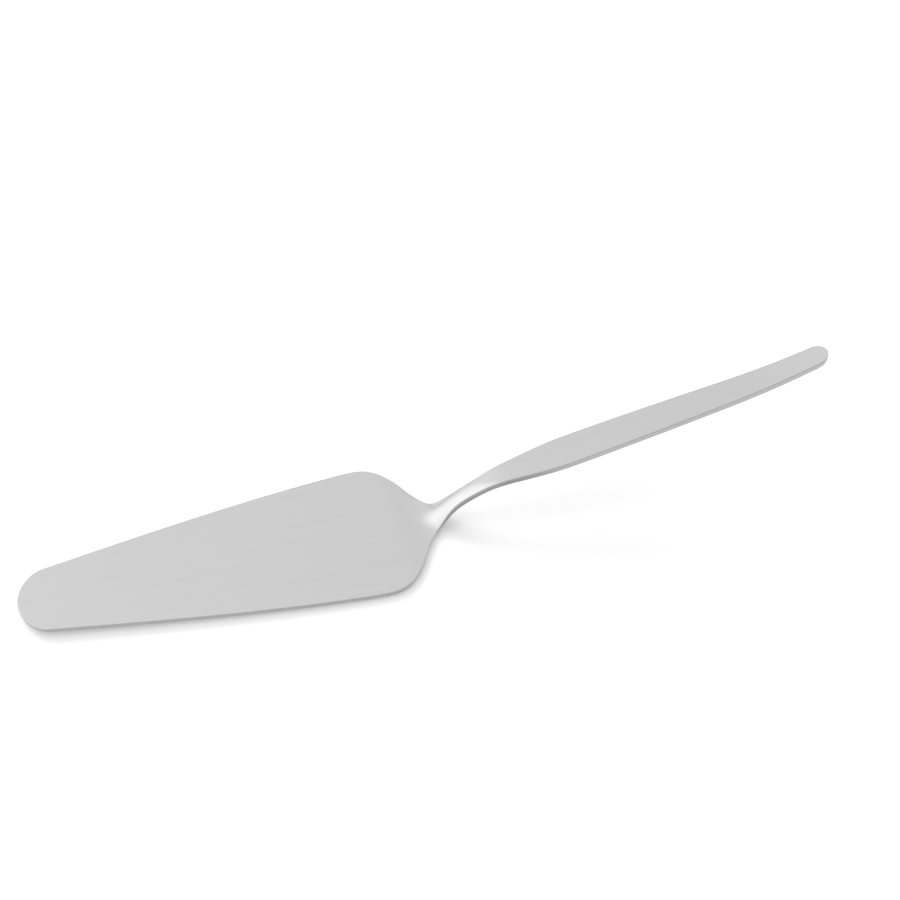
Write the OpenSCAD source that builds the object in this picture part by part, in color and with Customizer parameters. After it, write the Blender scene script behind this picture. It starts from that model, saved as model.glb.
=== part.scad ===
// Cake server: a thin stamped blade and a thicker bent handle, butt-welded at the blade's heel.
// X runs from the blade's tip to the handle's end, Y lies across, Z rises from the face it rests on.
// The origin is under the middle of the whole length, on that face.

/* [Blade] */
// Length of the blade plate along the middle, from its tip to the weld
blade_l = 127.7; // [105:0.1:160]
// Width of the blade at its widest place
blade_w = 54.7; // [44:0.1:66]
// Thickness of the blade plate
blade_t = 1.4; // [1:0.1:1.8]
// Width of the blade where the rounding of its tip ends
tip_w = 25.5; // [18:0.1:32]
// Length of the rounding of the tip
tip_l = 8.9; // [6:0.1:13]
// Angle of each long edge to the middle line, just behind the tip
tip_flare = 10.1; // [6:0.1:14]
// Angle of each long edge to the middle line, where its shoulder begins
side_flare = 4.8; // [2:0.1:7]
// Length of the shoulder that rounds each long edge to the widest place
shoulder_l = 7.8; // [4:0.1:16]
// Distance from the widest place back to the weld
heel_l = 13; // [10:0.5:18]

/* [Weld] */
// Width of the ground weld between the blade and the foot of the handle
weld_w = 1.6; // [1:0.1:2.6]

/* [Neck] */
// Width of the handle's foot where it meets the weld
foot_w = 30; // [22:0.1:34]
// Angle to the middle line at which the outline cuts in at the foot
foot_angle = 63.1; // [55:0.1:70]
// Length from the weld to the narrowest place of the neck
foot_l = 15.8; // [13:0.1:22]
// Width of the neck at its narrowest place
neck_w = 5.7; // [4:0.1:8]
// Inside radius of the bend that turns the foot upwards
bend_r = 11.8; // [9:0.1:18]
// Slope of the neck at its steepest
neck_angle = 37.4; // [28:0.1:44]
// Length of the straight rise after the bend
rise_l = 4.4; // [3:0.1:10]
// Outside radius of the bend that turns the neck into the handle
crest_r = 55.5; // [35:0.5:65]
// Radius, seen from above, of the curved line along which the foot bends upwards
crease_r = 5; // [3.5:0.1:8]
// Length of the full crown behind the narrowest place
crown_l = 2; // [1:0.5:6]
// Length over which the crown runs out into the flat handle
crown_fade = 9; // [6:0.5:14]

/* [Handle] */
// Length of the handle in plan, from the weld to its end
handle_l = 140.7; // [115:0.1:180]
// Thickness of the handle
handle_t = 2.1; // [1.6:0.1:3]
// Width of the handle at its widest place
handle_w = 12.4; // [9:0.1:16]
// Distance from the narrowest place of the neck to the widest place of the handle
grip_l = 36.5; // [28:0.1:46]
// Width of the handle where the rounding of its end begins
end_w = 8.2; // [6:0.1:11]
// Length of the rounding of the handle's end
end_l = 4; // [3:0.1:8]
// Angle of each long edge of the handle to the middle line, just before its end
end_taper = 2.1; // [0.5:0.1:3]
// Slope of the straight part of the handle
handle_angle = 12.2; // [8:0.1:16]
// Slope of the handle at its very end
end_angle = 20.7; // [17:0.1:28]
// Length of the lifted end in plan
lift_l = 34.6; // [22:0.1:45]

/* [Hidden] */

// Places along the middle line, counted from the blade's tip
wide_x = blade_l - heel_l;
shoulder_x = wide_x - shoulder_l;
weld_x = blade_l + weld_w;
waist_x = weld_x + foot_l;
grip_x = waist_x + grip_l;
total_l = weld_x + handle_l;
end_x = total_l - end_l;

// Corners of the outline: place, half width there and slope of the edge
OUTLINE = [
    [tip_l, tip_w / 2, tan(tip_flare)],
    [shoulder_x, blade_w / 2 - shoulder_l * tan(side_flare) / 2, tan(side_flare)],
    [wide_x, blade_w / 2, 0],
    [weld_x, foot_w / 2, -tan(foot_angle)],
    [waist_x, neck_w / 2, 0],
    [grip_x, handle_w / 2, 0],
    [end_x, end_w / 2, -tan(end_taper)],
];

// Places and heights where the bends of the handle's top face begin and end
rise_x = weld_x + bend_r * sin(neck_angle);
rise_z = blade_t + bend_r * (1 - cos(neck_angle));
top_x = rise_x + rise_l * cos(neck_angle);
top_z = rise_z + rise_l * sin(neck_angle);
crest_x = top_x + crest_r * (sin(neck_angle) - sin(handle_angle));
crest_z = top_z + crest_r * (cos(handle_angle) - cos(neck_angle));
lift_x = total_l - lift_l;
lift_z = crest_z + (lift_x - crest_x) * tan(handle_angle);
lift_r = lift_l / (sin(end_angle) - sin(handle_angle));
crown_x = waist_x + crown_l;

// Fineness of the curves
round_steps = 14;
edge_steps = 12;
weld_steps = 3;
bend_steps = 16;
rise_steps = 4;
grip_steps = 20;
crown_steps = 10;
// Share of the end's rounding after which the end is cut off square
end_cut = 0.998;

// Smooth step from 0 to 1
function ease(q) = let (t = min(max(q, 0), 1)) t * t * (3 - 2 * t);

// Share of the full width left at share q of a rounded end
function rounding(q) = sqrt(max(1 - q * q, 0));

// Cubic curve between two corners of the outline
function edge_curve(x, a, b) =
    let (span = b[0] - a[0], q = (x - a[0]) / span, p = 1 - q)
    a[1] * (1 + 2 * q) * p * p + a[2] * span * q * p * p
    + b[1] * (3 - 2 * q) * q * q - b[2] * span * q * q * p;

// Half width of the outline at a place
function half_width(x) =
    x < tip_l ? (tip_w / 2 - (tip_l - x) * tan(tip_flare)) * rounding((tip_l - x) / tip_l)
    : x > end_x ? (end_w / 2 - (x - end_x) * tan(end_taper)) * rounding(end_cut * (x - end_x) / end_l)
    : let (i = max([for (k = [0:len(OUTLINE) - 2]) if (x >= OUTLINE[k][0]) k]))
        edge_curve(x, OUTLINE[i], OUTLINE[i + 1]);

// Slope of the handle's middle line at a place: level before the weld, then through its bends
function slope(x) =
    x < weld_x ? 0
    : x < rise_x ? asin((x - weld_x) / bend_r)
    : x < top_x ? neck_angle
    : x < crest_x ? asin(sin(neck_angle) - (x - top_x) / crest_r)
    : x < lift_x ? handle_angle
    : asin(sin(handle_angle) + (x - lift_x) / lift_r);

// Height of the handle's top face over its middle line at a place
function height(x) =
    x < rise_x ? blade_t + bend_r * (1 - cos(slope(x)))
    : x < top_x ? rise_z + (x - rise_x) * tan(neck_angle)
    : x < crest_x ? top_z + crest_r * (cos(slope(x)) - cos(neck_angle))
    : x < lift_x ? crest_z + (x - crest_x) * tan(handle_angle)
    : lift_z + lift_r * (cos(handle_angle) - cos(slope(x)));

// Thickness of the handle measured straight down: as the blade at the foot, full at the waist
function thickness(x) =
    (blade_t + (handle_t - blade_t) * ease((x - weld_x) / foot_l)) / cos(slope(x));

// Place on the middle line that is bent as much as a point beside it: the bend reaches the sides later
function bent_as(x, y) = x - y * y / (2 * crease_r) * (1 - ease((x - crown_x) / crown_fade));

// Places from a up to b, without b
function places(a, b, steps) = [for (i = [0:steps - 1]) a + (b - a) * i / steps];

// Places along the blade and along the handle
BLADE_PLACES = concat(
    [for (i = [0:round_steps - 1]) tip_l * (1 - cos(90 * i / round_steps))],
    places(tip_l, shoulder_x, edge_steps),
    places(shoulder_x, wide_x, edge_steps),
    places(wide_x, blade_l, edge_steps),
    [blade_l]
);
HANDLE_PLACES = concat(
    places(weld_x, rise_x, bend_steps),
    places(rise_x, top_x, rise_steps),
    places(top_x, crest_x, bend_steps),
    places(crest_x, lift_x, grip_steps),
    places(lift_x, end_x, edge_steps),
    [for (i = [0:round_steps]) end_x + end_l * sin(90 * i / round_steps)]
);

// Outline between the first and the last of a row of places, mirrored over the middle line
function outline(row) = concat(
    [for (x = row) [x, half_width(x)]],
    [for (i = [len(row) - 1:-1:0]) if (half_width(row[i]) > 0) [row[i], -half_width(row[i])]]
);

// Cross-section of the handle at a place: its crowned top from left to right, then its underside back
function section(x) =
    let (w = half_width(x), row = [for (i = [0:crown_steps]) w * (1 - 2 * i / crown_steps)])
    concat(
        [for (y = row) [x, y, height(bent_as(x, y))]],
        [for (i = [crown_steps:-1:0]) let (y = row[i], p = bent_as(x, y)) [x, y, height(p) - thickness(p)]]
    );

// Solid through a row of cross-sections whose points lie in pairs, one over the other
module loft(sections) {
    last = len(sections) - 1;
    n = len(sections[0]);
    polyhedron(
        points = [for (s = sections) each s],
        faces = concat(
            [for (i = [0:n / 2 - 2]) let (j = n - 1 - i) each [[j, i + 1, i], [j, j - 1, i + 1]]],
            [for (k = [0:last - 1], i = [0:n - 1]) let (a = k * n, b = a + n, j = (i + 1) % n)
                each [[a + i, a + j, b + j], [a + i, b + j, b + i]]],
            [for (i = [0:n / 2 - 2]) let (a = last * n + i, b = last * n + n - 1 - i)
                each [[b, a, a + 1], [b, a + 1, b - 1]]]
        )
    );
}

// Everything is drawn from the blade's tip and then set about the middle of the length
module centred() {
    translate([-total_l / 2, 0, 0]) children();
}

// Thin plate with a rounded tip, edges that widen gently and a rounded heel
module blade() {
    color([0.80, 0.80, 0.80]) centred()
        linear_extrude(blade_t) polygon(outline(BLADE_PLACES));
}

// Weld across the root, ground flush with both faces of the blade
module weld_seam() {
    color([0.88, 0.88, 0.88]) centred()
        linear_extrude(blade_t) polygon(outline(concat(places(blade_l, weld_x, weld_steps), [weld_x])));
}

// Foot, crowned neck and flat tapering grip in one bent piece
module handle() {
    color([0.79, 0.79, 0.79]) centred()
        loft([for (x = HANDLE_PLACES) section(x)]);
}

blade();
weld_seam();
handle();
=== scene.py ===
# %% [markdown]
# # A cake server in brushed steel
#
# The server is three pieces of stainless steel: a thin blade, a thicker handle that bends up from it, and
# the ground weld that joins the two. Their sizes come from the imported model, which is loaded here as a fixed
# frame. The lesson adds what that frame leaves out: rounded rims, smooth bends and the finish of the steel.

# %% Load the frame and keep its box
import math

import bmesh
import bpy
import numpy as np
from mathutils import Matrix, Vector


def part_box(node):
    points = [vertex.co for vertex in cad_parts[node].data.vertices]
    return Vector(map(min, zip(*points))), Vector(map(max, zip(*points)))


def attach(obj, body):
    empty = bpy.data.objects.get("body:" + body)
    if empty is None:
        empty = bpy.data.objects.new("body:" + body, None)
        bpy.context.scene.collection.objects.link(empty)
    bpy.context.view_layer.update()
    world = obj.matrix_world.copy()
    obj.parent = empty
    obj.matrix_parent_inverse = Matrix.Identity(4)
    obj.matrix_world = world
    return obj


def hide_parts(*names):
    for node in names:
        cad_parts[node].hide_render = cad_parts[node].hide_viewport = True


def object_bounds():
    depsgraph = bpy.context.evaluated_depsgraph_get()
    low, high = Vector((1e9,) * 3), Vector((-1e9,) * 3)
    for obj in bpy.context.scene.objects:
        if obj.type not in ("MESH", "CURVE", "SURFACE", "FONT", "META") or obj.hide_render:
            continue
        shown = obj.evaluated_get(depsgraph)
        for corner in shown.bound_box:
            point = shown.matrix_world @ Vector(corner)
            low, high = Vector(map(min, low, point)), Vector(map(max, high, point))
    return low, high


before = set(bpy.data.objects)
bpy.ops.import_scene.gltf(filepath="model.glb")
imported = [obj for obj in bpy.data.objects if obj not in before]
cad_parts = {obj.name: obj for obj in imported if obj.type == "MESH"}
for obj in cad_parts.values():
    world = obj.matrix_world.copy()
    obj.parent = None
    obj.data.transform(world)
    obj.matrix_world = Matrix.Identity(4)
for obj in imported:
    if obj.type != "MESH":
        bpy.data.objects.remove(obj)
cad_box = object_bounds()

MM = 0.001
print("box of the frame in mm:", [[round(side / MM, 2) for side in corner] for corner in cad_box])

# %% [markdown]
# ## From sheet to blank
#
# In the factory blade and handle are stamped out of sheet steel as flat blanks, and the handle is pressed
# into its bend afterwards. The same order suits a mesh, because a rim is easy to round while a plate is
# still flat. The outline could be drawn again by hand, but the frame already holds it. So a merged copy of
# a frame piece loses all but its upper faces, these are flattened and dissolved into one sheet, and the
# sheet is extruded down to a plate. Every blank starts equally thin here, and is brought to its own
# thickness later.

# %% Cut a flat blank
TOUCH = 0.001 * MM
FACES_UP = 0.5
BLANK_T = 1.0 * MM


def cut_blank(node):
    """A flat plate with the outline of a frame piece seen from above, its upper face at height 0."""
    blank = bmesh.new()
    blank.from_mesh(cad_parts[node].data)
    bmesh.ops.remove_doubles(blank, verts=blank.verts, dist=TOUCH)
    blank.normal_update()
    offcut = [face for face in blank.faces if face.normal.z < FACES_UP]
    bmesh.ops.delete(blank, geom=offcut, context="FACES")
    bmesh.ops.scale(blank, vec=(1, 1, 0), verts=blank.verts)
    sheet = bmesh.ops.dissolve_faces(blank, faces=blank.faces)["region"]
    drawn = bmesh.ops.extrude_face_region(blank, geom=sheet)["geom"]
    lower = [part for part in drawn if isinstance(part, bmesh.types.BMVert)]
    bmesh.ops.translate(blank, vec=(0, 0, -BLANK_T), verts=lower)
    bmesh.ops.recalc_face_normals(blank, faces=blank.faces)
    print(node, "blank:", len(sheet), "sheet with", len(lower), "corners")
    return blank


# %% [markdown]
# ## Rounded rims
#
# No edge of a server is left sharp. The rims are tumbled and buffed until they are round, and the thin dark
# and bright lines along them are half of what makes the steel look like steel. A Bevel modifier would round
# them too, but also the seams, where the pieces have to meet flush. A bevel on chosen edges leaves those
# alone. It takes a quarter of the thin blank from above and a quarter from below, so the side becomes
# a blunt nose. A number is kept at each point too, 0 on the flat faces and 1 where the side is upright, for
# the finish of the sides and for the painted shade on them.

# %% Round the rims of a blank
RIM_R = 0.24 * MM
RIM_STEPS = 6

weld_low, weld_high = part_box("weld_seam")
seams = (weld_low.x, weld_high.x)
print("seams at", [round(x / MM, 2) for x in seams], "mm")


def at_seam(edge):
    """Whether an edge lies in the plane of a seam."""
    return any(all(abs(vert.co.x - seam) < TOUCH for vert in edge.verts) for seam in seams)


def round_rims(blank):
    """Rounds both rims of a blank, but not its seams, and keeps how far down its sides each point is."""
    side = blank.verts.layers.float.new("rim")
    rims = [edge for edge in blank.edges if abs(edge.verts[0].co.z - edge.verts[1].co.z) < TOUCH]
    rims = [edge for edge in rims if not at_seam(edge)]
    rounded = bmesh.ops.bevel(
        blank,
        geom=rims,
        affect="EDGES",
        offset=RIM_R,
        offset_type="OFFSET",
        segments=RIM_STEPS,
        profile=0.5,
        material=-1,
        clamp_overlap=False,
    )["faces"]
    for vert in blank.verts:
        depth = min(-vert.co.z, BLANK_T + vert.co.z)
        vert[side] = min(max(depth / RIM_R, 0), 1)
    print(len(rims), "rim edges became", len(rounded), "rounded faces")


# %% [markdown]
# ## A map for the grain
#
# Brushing runs along each piece, and on the handle it follows the bend. Object coordinates would cut
# straight through that bend. A UV map of the flat blank remembers where every point lay before bending:
# U runs along the piece and V across it and down its sides, both in metres. The steel reads its grain from
# that map later.

# %% Map the grain


def map_grain(blank):
    """Lays the grain map over a piece while it is flat."""
    grain = blank.loops.layers.uv.new("grain")
    for face in blank.faces:
        for loop in face.loops:
            loop[grain].uv = (loop.vert.co.x, loop.vert.co.y + loop.vert.co.z)
    print("grain laid over", len(blank.faces), "faces")


# %% [markdown]
# ## The bend of the handle
#
# The handle leaves the weld level, turns up, turns back and ends in a long grip that lifts a little at its
# end. That line, and the thickness along it, are in the frame, so they are measured there. Straight lines
# between the measured places would leave faint facets in polished steel. So the slope is what is
# interpolated, and the heights are summed up from it.

# %% Measure the middle line of the handle
LINE_STEPS = 4000


def measure_bend(node):
    """Fine rows of places along the middle of a frame piece, with its height and its thickness there."""
    heights = {}
    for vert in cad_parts[node].data.vertices:
        if abs(vert.co.y) < TOUCH:
            heights.setdefault(round(vert.co.x, 6), []).append(vert.co.z)
    cuts = np.array(sorted(heights))
    top = np.array([max(heights[cut]) for cut in cuts])
    thick = np.array([max(heights[cut]) - min(heights[cut]) for cut in cuts])
    place = np.linspace(cuts[0], cuts[-1], LINE_STEPS)
    slope = np.interp(place, (cuts[1:] + cuts[:-1]) / 2, np.diff(top) / np.diff(cuts))
    steps = np.diff(place) * (slope[1:] + slope[:-1]) / 2
    height = top[0] + np.concatenate(([0], np.cumsum(steps)))
    return {"cuts": cuts, "place": place, "height": height, "thick": np.interp(place, cuts, thick)}


bend = measure_bend("handle")
rise = bend["height"][-1] - bend["height"][0]
print("handle rises", round(rise / MM, 1), "mm in", len(bend["cuts"]), "measured places")

# %% Find the narrowest place of the neck
handle_points = [vert.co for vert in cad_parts["handle"].data.vertices]
half_widths = [max(point.y for point in handle_points if abs(point.x - cut) < TOUCH) for cut in bend["cuts"]]
waist = bend["cuts"][int(np.argmin(half_widths[: len(half_widths) // 2]))]
print("narrowest place of the neck at", round(waist / MM, 2), "mm")

# %% [markdown]
# ## Pressing
#
# A press gives a flat blank its thickness and its bend between two dies. The line along which the foot turns
# up is not straight but curved, so the bend reaches the sides later than the middle. That leaves the flanks
# of the foot level and crowns the neck, and it fades out in the grip, which is flat across. A Curve or
# a Lattice modifier could bend the blank, but neither knows a curved bend line. So the blank is cut across
# at every measured place and along its length, and each point is set where a point of the middle line that
# is bent as much would be. This stretches the blunt nose of the thin blank to the full thickness, so its
# roundings become taller than they are deep.

# %% Stretch a flat blank, or cut it into strips and press it
STRIPS = [side * MM for side in (0, 0.5, 1, 1.5, 2.2, 3, 4, 5.5, 7.5, 10)]
CREASE_R = 5 * MM
CROWN_L = 2 * MM
CROWN_FADE = 9 * MM


def stretch(blank, node):
    """Brings a flat blank to the height and the thickness of a frame piece."""
    low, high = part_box(node)
    bmesh.ops.scale(blank, vec=(1, 1, (high.z - low.z) / BLANK_T), verts=blank.verts)
    bmesh.ops.translate(blank, vec=(0, 0, high.z), verts=blank.verts)
    print(node, "is", round((high.z - low.z) / MM, 2), "mm thick")


def cut_along(blank, point, direction):
    """Cuts all faces of a blank along a plane and keeps both sides."""
    bmesh.ops.bisect_plane(
        blank,
        geom=blank.verts[:] + blank.edges[:] + blank.faces[:],
        dist=TOUCH,
        plane_co=point,
        plane_no=direction,
    )


def bent_as(point):
    """The place on the middle line that is bent as much as a point beside it."""
    fade = min(max((point.x - waist - CROWN_L) / CROWN_FADE, 0), 1)
    fade = fade * fade * (3 - 2 * fade)
    return point.x - point.y**2 / (2 * CREASE_R) * (1 - fade)


def press(blank):
    """Stretches and bends a flat blank to the measured bend."""
    for vert in blank.verts:
        place = bent_as(vert.co)
        top = np.interp(place, bend["place"], bend["height"])
        thick = np.interp(place, bend["place"], bend["thick"])
        vert.co.z = top + vert.co.z / BLANK_T * thick
    print(len(blank.verts), "points pressed into the bend")


# %% [markdown]
# ## Shading
#
# The pieces are shaded smooth, so that the steps of their roundings vanish. Plain smooth shading would let
# the roundings tilt the shading of the flat faces beside them too. A Weighted Normal modifier gives each
# point the direction of its largest faces, so the flat faces stay flat up to their rims. Only the seams are
# kept sharp.

# %% Turn a blank into a piece


def finish_piece(blank, name, node, steel):
    """Makes a blank a piece of the server that stands for a frame piece."""
    for face in blank.faces:
        face.smooth = True
    for edge in blank.edges:
        edge.smooth = not at_seam(edge)
    mesh = bpy.data.meshes.new(name)
    blank.to_mesh(mesh)
    blank.free()
    mesh.materials.append(steel)
    piece = bpy.data.objects.new(name, mesh)
    bpy.context.scene.collection.objects.link(piece)
    even = piece.modifiers.new("even_shading", "WEIGHTED_NORMAL")
    even.keep_sharp = True
    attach(piece, "root")
    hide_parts(node)
    print(name, "has", len(mesh.polygons), "faces")


# %% [markdown]
# ## Steel
#
# Blade and grip are satin brushed along their length, and the neck between them is polished, because nobody
# can brush a bend evenly. Both are the same metal, so one function makes every steel here. The brushing is
# noise stretched along the grain: it varies the roughness and the colour a little and raises hair-fine
# ridges. Polish fades in at the weld, and ends in a slanting border where the grip was held against the
# brushing wheel. The sides are only tumbled, so they are rougher. Their colour is also darkened as painted
# shade, which stands for the shadowed table and the dark open front of the tent that the sides mirror. It is
# darkest on the neck, whose sides mirror the shadow under it. The colour is a touch darker on the handle
# than on the blade. That change is spread over the weld, so that no line shows there.

# %% Nodes that several finishes need


def plug(tree, value, socket):
    """Links a socket to another one, or sets a number on it."""
    if isinstance(value, bpy.types.NodeSocket):
        tree.links.new(value, socket)
    else:
        socket.default_value = value


def join(tree, operation, first, second):
    """A Math node on two sockets or numbers. Gives its result."""
    node = tree.nodes.new("ShaderNodeMath")
    node.operation = operation
    plug(tree, first, node.inputs[0])
    plug(tree, second, node.inputs[1])
    return node.outputs[0]


def ramp(tree, value, reach, low=0.0, high=1.0):
    """A soft step of a socket, from low at the start of a reach to high at its end."""
    node = tree.nodes.new("ShaderNodeMapRange")
    node.interpolation_type = "SMOOTHSTEP"
    tree.links.new(value, node.inputs["Value"])
    node.inputs["From Min"].default_value = reach[0]
    node.inputs["From Max"].default_value = reach[1]
    node.inputs["To Min"].default_value = low
    node.inputs["To Max"].default_value = high
    return node.outputs[0]


def mix(tree, share, first, second):
    """A number that goes from first to second as share goes from 0 to 1."""
    node = tree.nodes.new("ShaderNodeMix")
    for value, socket in zip((share, first, second), node.inputs[:1] + node.inputs[2:4]):
        plug(tree, value, socket)
    return node.outputs[0]


def grey(tree, value):
    """A colour with the same value in its three channels."""
    node = tree.nodes.new("ShaderNodeCombineColor")
    for channel in node.inputs:
        tree.links.new(value, channel)
    return node.outputs["Color"]


def axes_of(tree):
    """The place of a point on a piece, as the sockets X, Y and Z."""
    place = tree.nodes.new("ShaderNodeTexCoord")
    axes = tree.nodes.new("ShaderNodeSeparateXYZ")
    tree.links.new(place.outputs["Object"], axes.inputs[0])
    return axes.outputs


def streaks(tree, length, width, detail):
    """Noise that is stretched along the grain map, from 0 to 1."""
    place = tree.nodes.new("ShaderNodeUVMap")
    place.uv_map = "grain"
    longwise = tree.nodes.new("ShaderNodeMapping")
    longwise.inputs["Scale"].default_value = (1 / length, 1 / width, 1)
    noise = tree.nodes.new("ShaderNodeTexNoise")
    noise.noise_dimensions = "2D"
    noise.inputs["Scale"].default_value = 1
    noise.inputs["Detail"].default_value = detail
    tree.links.new(place.outputs["UV"], longwise.inputs["Vector"])
    tree.links.new(longwise.outputs["Vector"], noise.inputs["Vector"])
    return noise.outputs[0]


# %% Where the steel is polished
BORDER_SLANT = 0.5
BORDER_SOFT = 0.5 * MM
root_reach = (seams[0] - 2 * MM, seams[1] + 7 * MM)
border_x = waist + 5 * MM
print("polish fades in over", [round(x / MM, 2) for x in root_reach], "mm")
print("brushing of the grip begins at", round(border_x / MM, 2), "mm")


def polish_share(tree, axes):
    """How polished the steel is at a place: 1 on the neck, 0 on the blade and the grip."""
    root = ramp(tree, axes["X"], root_reach)
    past_border = join(tree, "MULTIPLY", join(tree, "SUBTRACT", axes["X"], border_x), BORDER_SLANT)
    border = join(tree, "ADD", past_border, axes["Y"])
    return join(tree, "MULTIPLY", root, ramp(tree, border, (-BORDER_SOFT, BORDER_SOFT), 1.0, 0.0))


# %% How bright the metal and its sides are
BLADE_METAL = 0.62
HANDLE_METAL = 0.58
STREAK_SHADE = 0.04
POLISH_GAIN = 1.06
metal_reach = (seams[0] - 8 * MM, seams[1] + 6 * MM)
# Where the painted shade on the sides deepens towards the neck and fades again along the grip.
foot_shade_reach = (waist - 11 * MM, waist - 6 * MM)
grip_shade_reach = (waist + 16 * MM, waist + 40 * MM)
print("the sides are greyest from", round(foot_shade_reach[1] / MM, 2), "to", round(grip_shade_reach[0] / MM, 2), "mm")


def brightness(tree, axes, bands, polish, rim, neck_side_shade, side):
    """Brightness of the steel at a place. The sides keep a share of it, and those of the neck another, as
    painted shade.
    """
    metal = ramp(tree, axes["X"], metal_reach, BLADE_METAL, HANDLE_METAL)
    # Painted shade: the sides are darkened in colour, most on the neck.
    foot_side_shade = ramp(tree, axes["X"], foot_shade_reach, side, neck_side_shade)
    grip_side_shade = ramp(tree, axes["X"], grip_shade_reach, neck_side_shade, side)
    sides = join(tree, "MAXIMUM", foot_side_shade, grip_side_shade)
    shade = join(tree, "ADD", 1 - STREAK_SHADE / 2, join(tree, "MULTIPLY", bands, STREAK_SHADE))
    shade = join(tree, "MULTIPLY", shade, mix(tree, polish, 1.0, POLISH_GAIN))
    shade = join(tree, "MULTIPLY", shade, mix(tree, rim, 1.0, sides))
    return join(tree, "MULTIPLY", metal, shade)


# %% Steel that is brushed, polished and tumbled in its places
HAIR_L = 12 * MM
HAIR_W = 0.12 * MM
HAIR_DETAIL = 2
STREAK_L = 60 * MM
STREAK_W = 1.2 * MM
STREAK_DETAIL = 3
RIDGE_H = 0.0012 * MM
BRUSHED = 0.34
POLISHED = 0.18
TUMBLED = 0.42
HAIR_ROUGH = 0.12
GRAIN_PULL = 0.4
GRAIN_TURN = 0.25


def make_steel(name, neck_side_shade, side):
    """Stainless steel with the finish of each place."""
    material = bpy.data.materials.new(name)
    material.use_nodes = True
    tree = material.node_tree
    shader = tree.nodes["Principled BSDF"]
    shader.inputs["Metallic"].default_value = 1
    shader.inputs["Anisotropic"].default_value = GRAIN_PULL
    shader.inputs["Anisotropic Rotation"].default_value = GRAIN_TURN
    tangent = tree.nodes.new("ShaderNodeTangent")
    tangent.direction_type = "UV_MAP"
    tangent.uv_map = "grain"
    tree.links.new(tangent.outputs[0], shader.inputs["Tangent"])

    axes = axes_of(tree)
    hairs = streaks(tree, HAIR_L, HAIR_W, HAIR_DETAIL)
    bands = streaks(tree, STREAK_L, STREAK_W, STREAK_DETAIL)
    polish = polish_share(tree, axes)
    rim_number = tree.nodes.new("ShaderNodeAttribute")
    rim_number.attribute_name = "rim"
    rim = rim_number.outputs["Fac"]

    brushed = join(tree, "ADD", BRUSHED - HAIR_ROUGH / 2, join(tree, "MULTIPLY", hairs, HAIR_ROUGH))
    rough = mix(tree, rim, mix(tree, polish, brushed, POLISHED), TUMBLED)
    tree.links.new(rough, shader.inputs["Roughness"])

    # The colour holds the painted shade on the sides, led by the rim number.
    shade = brightness(tree, axes, bands, polish, rim, neck_side_shade, side)
    tree.links.new(grey(tree, shade), shader.inputs["Base Color"])

    bare = join(tree, "SUBTRACT", 1.0, join(tree, "MAXIMUM", polish, rim))
    ridges = tree.nodes.new("ShaderNodeBump")
    ridges.inputs["Strength"].default_value = 1
    ridges.inputs["Distance"].default_value = RIDGE_H
    tree.links.new(join(tree, "MULTIPLY", hairs, bare), ridges.inputs["Height"])
    tree.links.new(ridges.outputs["Normal"], shader.inputs["Normal"])
    print(name, "has", len(tree.nodes), "nodes")
    return material


# %% [markdown]
# ## The blade
#
# The blade is the plainest piece: a plate of even thickness that stays flat. Pressing it would work as well,
# but its blank only has to be stretched to the thickness of the blade.

# %% Make the blade
# Painted shade on the sides of blade and weld, for the shadowed table that they mirror.
BLADE_SIDE_SHADE = 0.76

blade_blank = cut_blank("blade")
round_rims(blade_blank)
map_grain(blade_blank)
stretch(blade_blank, "blade")
blade_steel = make_steel("blade_steel", BLADE_SIDE_SHADE, BLADE_SIDE_SHADE)
finish_piece(blade_blank, "blade_plate", "blade", blade_steel)

# %% [markdown]
# ## The weld
#
# A butt weld joins the blade to the foot of the handle, and it is ground until it can't be seen. It could
# bulge a little as a raw bead does, but nothing of a bead is left on a server. So it is made in the same way
# as the blade, with both of its long edges left square against its neighbours.

# %% Make the weld
weld_blank = cut_blank("weld_seam")
round_rims(weld_blank)
map_grain(weld_blank)
stretch(weld_blank, "weld_seam")
weld_steel = make_steel("weld_steel", BLADE_SIDE_SHADE, BLADE_SIDE_SHADE)
finish_piece(weld_blank, "ground_weld", "weld_seam", weld_steel)

# %% [markdown]
# ## The handle
#
# Foot, neck and grip are one piece. The frame's own mesh already has the bend, but its rims are sharp and
# can't be rounded evenly any more. So the blank is rounded and mapped while it is flat, then cut into strips
# and pressed.

# %% Make the handle
# Painted shade on the sides of the handle: darkest on the neck, lighter on the foot and the grip.
NECK_SIDE_SHADE = 0.55
GRIP_SIDE_SHADE = 0.9

handle_blank = cut_blank("handle")
round_rims(handle_blank)
map_grain(handle_blank)
for cut in bend["cuts"][1:-1]:
    cut_along(handle_blank, (cut, 0, 0), (1, 0, 0))
for strip in STRIPS:
    for side in {strip, -strip}:
        cut_along(handle_blank, (0, side, 0), (0, 1, 0))
press(handle_blank)
handle_steel = make_steel("handle_steel", NECK_SIDE_SHADE, GRIP_SIDE_SHADE)
finish_piece(handle_blank, "handle_strip", "handle", handle_steel)

# %% [markdown]
# ## The table
#
# The server lies on a plain white table. A curved backdrop could stand behind it, but the camera looks down
# and sees none of it, so a large plane with a matt white material is enough. It lies a hair below the blade
# and falls away a little under its tip, as a blade that isn't perfectly flat leaves it. For that reason the
# shadow under the rim is thin at the heel and softer at the tip.
#
# A little emission lifts the white to full white where the camera sees it. In what the steel mirrors, half
# of the white is emission. That keeps the mirrored shadow faint, so the sides of the server don't turn black
# at the table.

# %% Lay the table
FLOOR_GAP = 0.25 * MM
FLOOR_FALL = 0.008
FLOOR_HALF = 40.0

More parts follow.
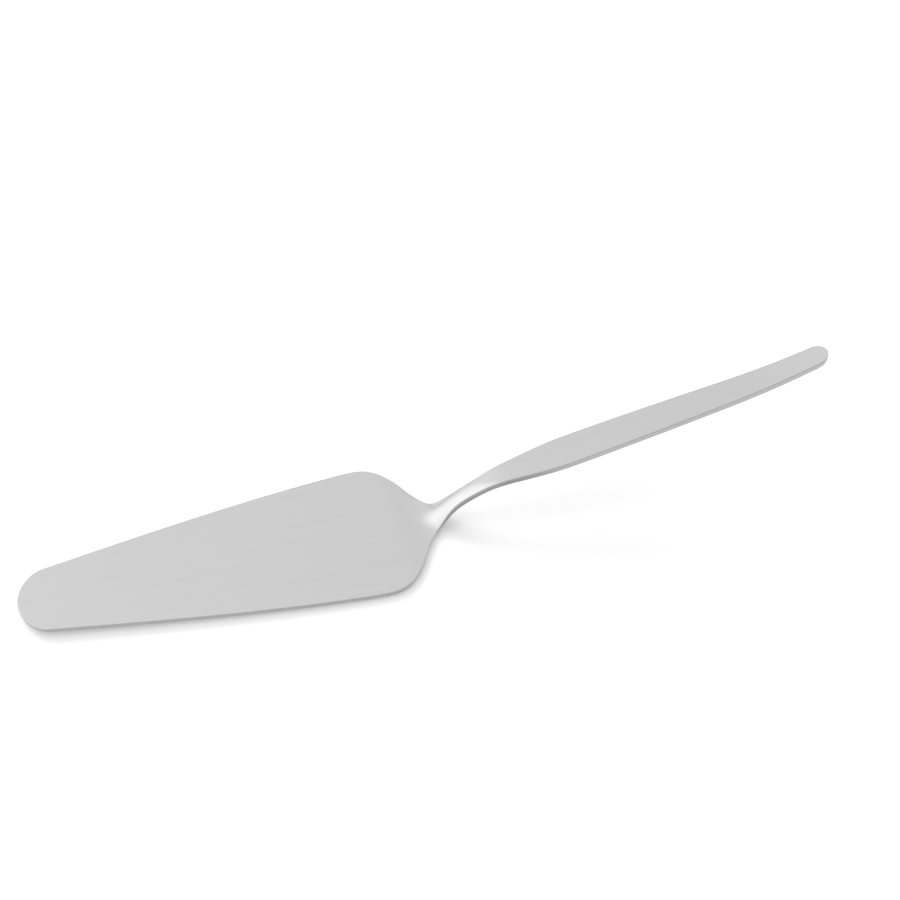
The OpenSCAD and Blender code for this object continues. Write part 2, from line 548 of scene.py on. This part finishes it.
table_mesh = bpy.data.meshes.new("table_top")
table_sheet = bmesh.new()
bmesh.ops.create_grid(table_sheet, x_segments=1, y_segments=1, size=FLOOR_HALF)
tilt = Matrix.Rotation(-FLOOR_FALL, 3, "Y")
bmesh.ops.rotate(table_sheet, cent=(0, 0, 0), matrix=tilt, verts=table_sheet.verts)
bmesh.ops.translate(table_sheet, vec=(0, 0, cad_box[0].z - FLOOR_GAP), verts=table_sheet.verts)
table_sheet.to_mesh(table_mesh)
table_sheet.free()
table = bpy.data.objects.new("table_top", table_mesh)
bpy.context.scene.collection.objects.link(table)
print("table", round(FLOOR_GAP / MM, 2), "mm under the middle of the server")

# %% Paint the table
FLOOR_WHITE = 0.9
FLOOR_LIFT = 0.153
FLOOR_ROUGH = 0.9
MIRROR_WHITE = 0.5
MIRROR_LIFT = 0.54


def make_table_white():
    """Matt white that shows as full white where no shadow falls."""
    material = bpy.data.materials.new("table_white")
    material.use_nodes = True
    tree = material.node_tree
    shader = tree.nodes["Principled BSDF"]
    shader.inputs["Roughness"].default_value = FLOOR_ROUGH
    shader.inputs["Specular IOR Level"].default_value = 0
    shader.inputs["Emission Color"].default_value = (1, 1, 1, 1)
    path = tree.nodes.new("ShaderNodeLightPath")
    mirrored = join(tree, "MAXIMUM", path.outputs["Is Glossy Ray"], path.outputs["Is Transmission Ray"])
    lift = join(tree, "MULTIPLY", path.outputs["Is Camera Ray"], FLOOR_LIFT)
    lift = join(tree, "ADD", lift, join(tree, "MULTIPLY", mirrored, MIRROR_LIFT))
    tree.links.new(lift, shader.inputs["Emission Strength"])
    white = mix(tree, mirrored, FLOOR_WHITE, MIRROR_WHITE)
    tree.links.new(grey(tree, white), shader.inputs["Base Color"])
    return material


table_mesh.materials.append(make_table_white())
print("table painted", FLOOR_WHITE, "white")

# %% [markdown]
# ## The light tent
#
# Steel shows mostly what stands around it, so it is photographed in a tent of white cloth that is lit from
# outside. Lamps alone would show as spots in the steel. The world stands for the tent here: an even white
# that is darker towards the viewer, where the tent is open, and brighter on the left, where a lamp stands
# behind the cloth. The dark side draws the lines along the rims. The bright side lights up the slope of the
# neck, and a little of it reaches round the back, so the blade is palest at its tip. Each side is given by
# where it lies, in degrees to the right of +Y and up, and by how far a ray has to point that way for its
# light to begin and to be full.

# %% Put up the tent
world = bpy.data.worlds.new("light_tent")
bpy.context.scene.world = world
world.use_nodes = True
tent = world.node_tree


def way_to(side):
    """Direction to a side of the tent."""
    across, height = (math.radians(angle) for angle in side)
    level = math.cos(height)
    return Vector((math.sin(across) * level, math.cos(across) * level, math.sin(height)))


def pointing_to(side):
    """How much a ray points to a side of the tent, from -1 to 1."""
    ray = tent.nodes.new("ShaderNodeTexCoord")
    turn = tent.nodes.new("ShaderNodeVectorMath")
    turn.operation = "DOT_PRODUCT"
    turn.inputs[1].default_value = way_to(side)
    tent.links.new(ray.outputs["Generated"], turn.inputs[0])
    return turn.outputs["Value"]


# %% Light its sides
TENT_LIGHT = 0.86
OPEN_SIDE = (174, 30)
OPEN_REACH = (0.2, 0.8)
OPEN_LIGHT = 0.5
LEFT_SIDE = (-80, 30)
LEFT_REACH = (0.5, 1.05)
LEFT_LIGHT = 0.57
BACK_SIDE = (-30, 50)
BACK_REACH = (0.6, 1.0)
BACK_LIGHT = 0.2

cloth = ramp(tent, pointing_to(OPEN_SIDE), OPEN_REACH, TENT_LIGHT, OPEN_LIGHT)
left = ramp(tent, pointing_to(LEFT_SIDE), LEFT_REACH, 0.0, LEFT_LIGHT)
back = ramp(tent, pointing_to(BACK_SIDE), BACK_REACH, 0.0, BACK_LIGHT)
glow = join(tent, "ADD", cloth, join(tent, "ADD", left, back))
tent.links.new(glow, tent.nodes["Background"].inputs["Strength"])
tent.nodes["Background"].inputs["Color"].default_value = (1, 1, 1, 1)
print("tent from", OPEN_LIGHT, "at its opening to", round(TENT_LIGHT + LEFT_LIGHT, 2), "on the left")

# %% [markdown]
# ## The shadow
#
# A tent lights the table from everywhere and leaves it with hardly a shadow. One soft lamp, low behind the
# server on its left, draws the shadow along its near edge and under the neck. An area lamp would do, but it
# leaves the table behind it darker. A sun lamp with a broad angle is as soft and reaches the whole table
# evenly. The steel would mirror it as a bright spot, so it is hidden from the rays that the steel sends out,
# as a lamp is behind the cloth of a real tent.

# %% Hang the soft lamp
LAMP_SIDE = (-22, 25)
LAMP_BREADTH = 28
LAMP_STRENGTH = 1.485

lamp_data = bpy.data.lights.new("soft_lamp", "SUN")
lamp_data.angle = math.radians(LAMP_BREADTH)
lamp_data.energy = LAMP_STRENGTH
lamp = bpy.data.objects.new("soft_lamp", lamp_data)
lamp.rotation_euler = (-way_to(LAMP_SIDE)).to_track_quat("-Z", "Y").to_euler()
lamp.visible_camera = False
lamp.visible_glossy = False
bpy.context.scene.collection.objects.link(lamp)
print("soft lamp at", LAMP_SIDE, "degrees,", LAMP_BREADTH, "degrees broad")

# %% [markdown]
# ## The camera
#
# The camera stands in front of the server on its left and looks down at it. A place and a lens could be
# tried by eye, but the edges of the server fix both. So they were worked out from the edges in the photo,
# together with the place that lies in the middle of the picture.

# %% Set up the camera
VIEW_TURN = math.radians(-15.83)
VIEW_TILT = math.radians(45.7)
VIEW_DISTANCE = 558.9 * MM
VIEW_LENS = 65.07
VIEW_SENSOR = 36
AIM_X = 14.42 * MM
AIM_Y = 28.34 * MM

aim = Vector((AIM_X, AIM_Y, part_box("blade")[1].z))
level = math.cos(VIEW_TILT)
away = Vector((math.sin(VIEW_TURN) * level, -math.cos(VIEW_TURN) * level, math.sin(VIEW_TILT)))
camera_data = bpy.data.cameras.new("camera")
camera_data.lens = VIEW_LENS
camera_data.sensor_width = VIEW_SENSOR
camera = bpy.data.objects.new("camera", camera_data)
camera.location = aim + away * VIEW_DISTANCE
camera.rotation_euler = (-away).to_track_quat("-Z", "Y").to_euler()
bpy.context.scene.collection.objects.link(camera)
bpy.context.scene.camera = camera
bpy.context.scene.view_settings.view_transform = "Standard"
print("camera at", [round(side / MM, 1) for side in camera.location], "mm")
